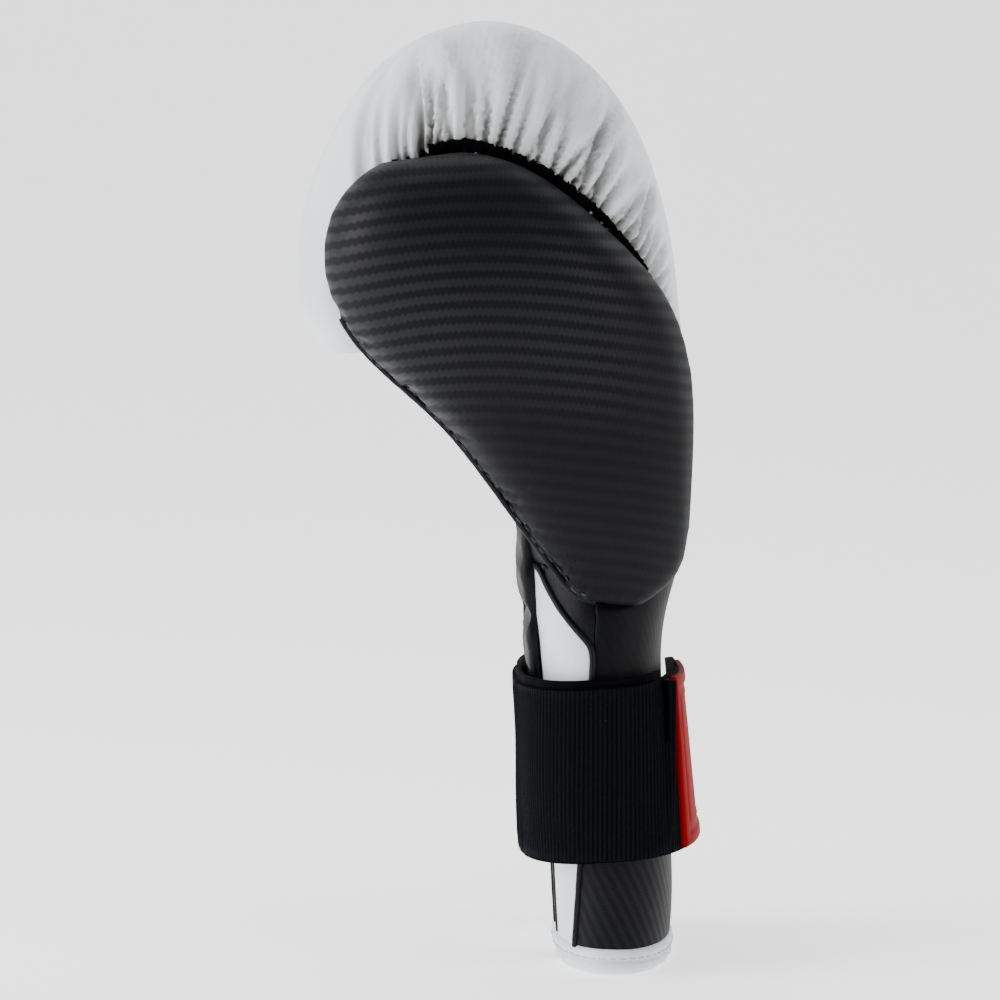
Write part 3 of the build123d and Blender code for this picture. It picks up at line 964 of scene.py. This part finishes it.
hemShape = Round(cuffMiddleX, "cuff_hem")
hemSpans = spanTable(hemShape, 0, 0.001, hemTop - 0.001, 4)
hemGrid = panelGrid(hemShape, hemSpans, 0.0001, hemTop + 0.0006, rowStep=0.0006, fine=0.0003)
cuffHem = sheetBody("cuffHem", hemGrid, cuffStyle["hemThick"], looks["white"], edgeRound=0.36,
                    wave=lambda u, v, w, h: -cuffStyle["hemDip"] * math.exp(-((v - h * 0.52) / 0.0006) ** 2)
                    + 0.0002 * math.sin(u * 420 + math.sin(u * 90) * 2))
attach(cuffHem, "glove_body")
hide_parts("cuff_hem")
hemSeam = hemTop * cuffStyle["hemSeam"]
hemLine = panelGrid(hemShape, hemSpans, hemSeam, hemSeam + 0.002, out=0.0001)[0]
hemStitches = stitches("hemStitches", hemLine, alongPath, paleThread, pitch=0.0034, length=0.0024,
                       radius=0.00028)
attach(hemStitches, "glove_body")

liningPoints, liningFaces = meshArrays(["cuff_lining"])
cuffLining = addMesh("cuffLining", liningPoints, liningFaces, looks["lining"])
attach(cuffLining, "glove_body")
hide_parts("cuff_lining")
print("cuff made")

# palm slit
slitStyle = {"voxel": 0.0006, "tongueFoot": 0.048, "tongueTop": 0.1445, "pinch": 0.0016, "pinchAt": 0.1147}
slitPieces = []
for name, node in (("slitPipingThumbSide", "slit_piping_thumb_side"),
                   ("slitPipingOuterSide", "slit_piping_outer_side")):
    piece = remeshed(name, [node], slitStyle["voxel"], 4, looks["piping"], levels=0)
    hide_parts(node)
    slitPieces.append(piece)
gussetShape = Round(cuffMiddleX, "slit_gusset")
gussetSpans = spanTable(gussetShape, 197, 0.012, 0.128)
gussetGrid = panelGrid(gussetShape, gussetSpans, 0.0095, 0.1305)
slitGusset = sheetBody("slitGusset", gussetGrid, 0.001, looks["lining"],
                       wave=lambda u, v, w, h: 0.0007 * math.sin(v * 420) * math.sin(3.14 * u / w))
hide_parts("slit_gusset")
slitPieces.append(slitGusset)

tongueShape = Round(cuffMiddleX, "slit_tongue")
tongueSpans = spanTable(tongueShape, 197, 0.045, 0.128)
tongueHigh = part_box("slit_tongue")[1]


def tongueGrid():
    k = slitStyle
    low = panelGrid(tongueShape, tongueSpans, k["tongueFoot"], tongueHigh.z - 0.001)
    last = low[-1]
    rows = [row for row in low]
    for up in np.arange(0.002, k["tongueTop"] - last[0][2], 0.002):
        rows.append([p + np.array([-0.00002 * up / 0.001, 0, up]) for p in last])
    return np.array(rows)


def tongueWave(u, v, w, h):
    k = slitStyle
    z = k["tongueFoot"] + v
    pinch = -k["pinch"] * math.exp(-((z - k["pinchAt"]) / 0.0028) ** 2)
    return pinch + 0.00035 * math.sin(z * 260) + 0.0003 * math.sin(z * 610 + u * 200)


slitTongue = sheetBody("slitTongue", tongueGrid(), 0.0032, looks["black"], wave=tongueWave)
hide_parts("slit_tongue")
slitPieces.append(slitTongue)
for piece in slitPieces:
    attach(piece, "glove_body")
print("slit made")

# strap
strapStyle = {"rib": 0.00022, "wave": 0.0004, "ribPitch": 0.0015, "plateRim": 0.0007, "rimWide": 0.0034,
              "middle": 0.066, "bandThick": 0.0016, "tabThick": 0.0026, "backingThick": 0.0013,
              "backingRise": 0.0026, "plateThick": 0.0019, "plateOut": 0.0018}
strapNodes = ["strap_anchor", "strap_webbing", "tab_webbing"]
strapMiddleX = (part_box("strap_anchor")[0].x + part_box("tab_webbing")[1].x) / 2 + 0.0005


def directions(names):
    points = np.concatenate([coords(nodes[n]) for n in names])
    return np.degrees(np.arctan2(points[:, 1], points[:, 0] - strapMiddleX)) % 360, points


def edgeLines(names):
    # lower and upper edge of the strap as straight lines of height over X
    turns, points = directions(names)
    lows, highs = [], []
    for start in range(0, 360, 5):
        part = points[(turns >= start) & (turns < start + 5)]
        if len(part) > 6:
            lows.append(part[part[:, 2].argmin()])
            highs.append(part[part[:, 2].argmax()])
    lows, highs = np.array(lows), np.array(highs)
    return np.polyfit(lows[:, 0], lows[:, 2], 1), np.polyfit(highs[:, 0], highs[:, 2], 1)


lowLine, highLine = edgeLines(strapNodes)


def ribbonGrid(shape, start, end, low, high, out=0.0, step=0.0005, rowStep=0.0025, inset=(0.0, 0.0)):
    # between two directions; edges follow the tilted lower and upper lines
    turnsFine = np.linspace(start, end, 200)
    line = [shape.point(a, strapStyle["middle"], out) for a in turnsFine]
    known = [k for k, p in enumerate(line) if p is not None]
    line = [line[min(known, key=lambda m: abs(m - k))] for k in range(len(line))]
    lengths = np.concatenate([[0], np.cumsum([np.linalg.norm(b - a) for a, b in zip(line, line[1:])])])
    places = edgePlaces(lengths[-1], step, 0.0003)
    turns = np.interp(places, lengths, turnsFine)
    tall = np.polyval(high, 0) - np.polyval(low, 0)
    ups = edgePlaces(tall, rowStep, 0.0004) / tall
    grid = []
    for t in ups:
        row = []
        for a in turns:
            x = np.interp(a, turnsFine, [p[0] for p in line])
            bottom, top = np.polyval(low, x) + inset[0], np.polyval(high, x) - inset[1]
            z = bottom + (top - bottom) * min(max(t, 0.003), 0.997)
            row.append((a, z, shape.point(a, z, out)))
        known = [k for k, item in enumerate(row) if item[2] is not None]
        for k, (a, z, p) in enumerate(row):
            if p is None and grid:
                row[k] = (a, z, np.array([grid[-1][k][0], grid[-1][k][1], z]))
            elif p is None:
                q = row[min(known, key=lambda m: abs(m - k))][2]
                r = math.hypot(q[0] - shape.centreX, q[1])
                row[k] = (a, z, np.array([shape.centreX + r * math.cos(math.radians(a)),
                                          r * math.sin(math.radians(a)), z]))
        grid.append([item[2] for item in row])
    return np.array(grid)


def ribWave(u, v, w, h):
    k = strapStyle
    edge = min(1.0, max(0.0, (min(v, h - v) - 0.0018) / 0.0006))
    rib = math.cos(2 * math.pi * u / k["ribPitch"]) * k["rib"] * edge
    return rib + k["wave"] * math.sin(v * 95 + u * 30) * math.sin(u * 60)


def foldAt(name):
    joint = [j for j in frame["joints"] if j["name"] == name][0]
    p = np.array(joint["pos_m"])
    rel = p[:2] - np.array([strapMiddleX, 0])
    angle = math.degrees(math.atan2(rel[1], rel[0])) % 360
    return p, angle


swingPoint, swingTurn = foldAt("strap_swing")
peelPoint, peelTurn = foldAt("tab_peel")
strapShape = Round(strapMiddleX, *strapNodes)
anchorTurns, _ = directions(["strap_anchor"])
tabTurns, _ = directions(["tab_webbing"])
anchorStart = anchorTurns.min() + 0.5
tabEnd = (tabTurns[tabTurns < 180].max() if (tabTurns < 180).any() else 0) + 360 - 0.3


def foldLine(point, turn, before, after):
    way = (strapShape.point(turn + 3, strapStyle["middle"])
           - strapShape.point(turn - 3, strapStyle["middle"]))
    way /= np.linalg.norm(way)
    return tuple(point - way * before), tuple(point + way * after)


strapBand = sheetBody("strapBand", ribbonGrid(strapShape, anchorStart, peelTurn, lowLine, highLine),
                      strapStyle["bandThick"], looks["elastic"], wave=ribWave)
foldLine(swingPoint, swingTurn, 0.001, 0.010)
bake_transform(strapBand)
strapTab = sheetBody("strapTab", ribbonGrid(strapShape, peelTurn, tabEnd, lowLine, highLine),
                     strapStyle["tabThick"], looks["elastic"], wave=ribWave)
foldLine(peelPoint, peelTurn, 0.001, 0.008)
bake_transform(strapTab)
backingHigh = highLine + np.array([0, strapStyle["backingRise"]])
backingGrid = ribbonGrid(strapShape, anchorStart + 2, peelTurn - 0.6, lowLine, backingHigh, out=-0.0015,
                         step=0.0015, inset=(0.0015, 0.0))
strapBacking = sheetBody("strapBacking", backingGrid, strapStyle["backingThick"], looks["binding"],
                         wave=lambda u, v, w, h: 0.00025 * math.sin(u * 500) * (v > h * 0.9))
foldLine(swingPoint, swingTurn, 0.001, 0.010)
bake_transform(strapBacking)
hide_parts("strap_anchor", "strap_webbing")
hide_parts("strap_backing")
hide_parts("tab_webbing")
anchorFold = remeshed("strapAnchorFold", ["strap_anchor_fold"], 0.0008, 6, looks["binding"], levels=0)
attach(anchorFold, "glove_body")
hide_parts("strap_anchor_fold")

for name, node, look, guess, body, thick in (
        ("loopPatch", "loop_patch", looks["loop"], 355, "glove_body", 0.0009),
        ("tabHookPatch", "tab_hook_patch", looks["hook"], 340, "strap_tab", 0.0012)):
    shape = Round(strapMiddleX, node)
    low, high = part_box(node)
    spans = spanTable(shape, guess, low.z + 0.001, high.z - 0.001, 5)
    grid = panelGrid(shape, spans, low.z + 0.0003, high.z - 0.0003, rowStep=0.0012)
    piece = sheetBody(name, grid, thick, look,
                      wave=lambda u, v, w, h: 0.0001 * math.sin(u * 3000) * math.sin(v * 3000))
    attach(piece, body)
    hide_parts(node)

plateShape = Round(strapMiddleX, "tab_webbing")
plateTurns, _ = directions(["tab_plate"])
plateStart = plateTurns[plateTurns > 180].min()
plateEnd = plateTurns[plateTurns < 180].max() + 360
plateLow, plateHigh = edgeLines(["tab_plate"])


def plateWave(u, v, w, h):
    k = strapStyle
    d = min(u, w - u, v, h - v)
    rim = k["plateRim"] * (1 - min(1.0, max(0.0, (d - k["rimWide"]) / 0.0007)))
    inner = 0.00035 * math.exp(-((d - k["rimWide"] - 0.004) / 0.0004) ** 2)
    return rim + inner


plateGrid = ribbonGrid(plateShape, plateStart, plateEnd, plateLow, plateHigh, out=strapStyle["plateOut"],
                       step=0.0007, rowStep=0.0008)
tabPlate = sheetBody("tabPlate", plateGrid, strapStyle["plateThick"], looks["rubber"], edgeRound=0.5,
                     wave=plateWave)
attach(tabPlate, "strap_tab")
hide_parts("tab_plate")
print("strap made")

# floor, light and camera
studio = {"cameraAway": 1.45, "cameraUp": 6.0, "lens": 159, "aim": (-0.037, 0.0, 0.1500), "room": 0.22,
          "lights": (("keyLight", (-1.3, -0.35, 0.55), 26, 0.9), ("fillLight", (1.3, -0.7, 0.5), 9, 0.5),
                     ("topLight", (-0.2, -0.2, 1.5), 13, 1.0))}
backdrop = {"colour": (0.95, 0.95, 0.95), "glow": 1.15, "depth": 2.2, "bend": 1.0, "half": 5.0, "steps": 12}


def makeBackdrop():
    k = backdrop
    look = Look("backdropPaint")
    paint = look.set(colour=k["colour"], rough=0.95, specular=0.0,
                     glow=k["colour"], glowPower=k["glow"])
    profile = [(-k["half"], 0.0), (k["depth"] - k["bend"], 0.0)]
    for step in range(1, k["steps"] + 1):
        a = math.pi / 2 * step / k["steps"]
        profile.append((k["depth"] - k["bend"] + k["bend"] * math.sin(a), k["bend"] * (1 - math.cos(a))))
    profile.append((k["depth"], k["half"]))
    points = [(x, y, z) for y, z in profile for x in (-k["half"], k["half"])]
    faces = [[2 * i, 2 * i + 1, 2 * i + 3, 2 * i + 2] for i in range(len(profile) - 1)]
    sweep = addMesh("backdrop", points, faces, paint)
    sweep.location.z = startBox[0][2] - 0.0005


makeBackdrop()


def areaLight(name, place, power, size):
    data = bpy.data.lights.new(name, "AREA")
    data.energy, data.size = power, size
    obj = bpy.data.objects.new(name, data)
    obj.location = place
    obj.rotation_euler = (Vector(studio["aim"]) - Vector(place)).to_track_quat("-Z", "Y").to_euler()
    bpy.context.scene.collection.objects.link(obj)


for light in studio["lights"]:
    areaLight(*light)
world = bpy.data.worlds.new("softRoom")
world.use_nodes = True
world.node_tree.nodes["Background"].inputs[0].default_value = (1, 1, 1, 1)
world.node_tree.nodes["Background"].inputs[1].default_value = studio["room"]
bpy.context.scene.world = world

cameraData = bpy.data.cameras.new("camera")
cameraData.lens = studio["lens"]
camera = bpy.data.objects.new("camera", cameraData)
aim = Vector(studio["aim"])
tilt = math.radians(studio["cameraUp"])
camera.location = aim + Vector((0, -math.cos(tilt), math.sin(tilt))) * studio["cameraAway"]
camera.rotation_euler = (aim - camera.location).to_track_quat("-Z", "Y").to_euler()
bpy.context.scene.collection.objects.link(camera)
bpy.context.scene.camera = camera
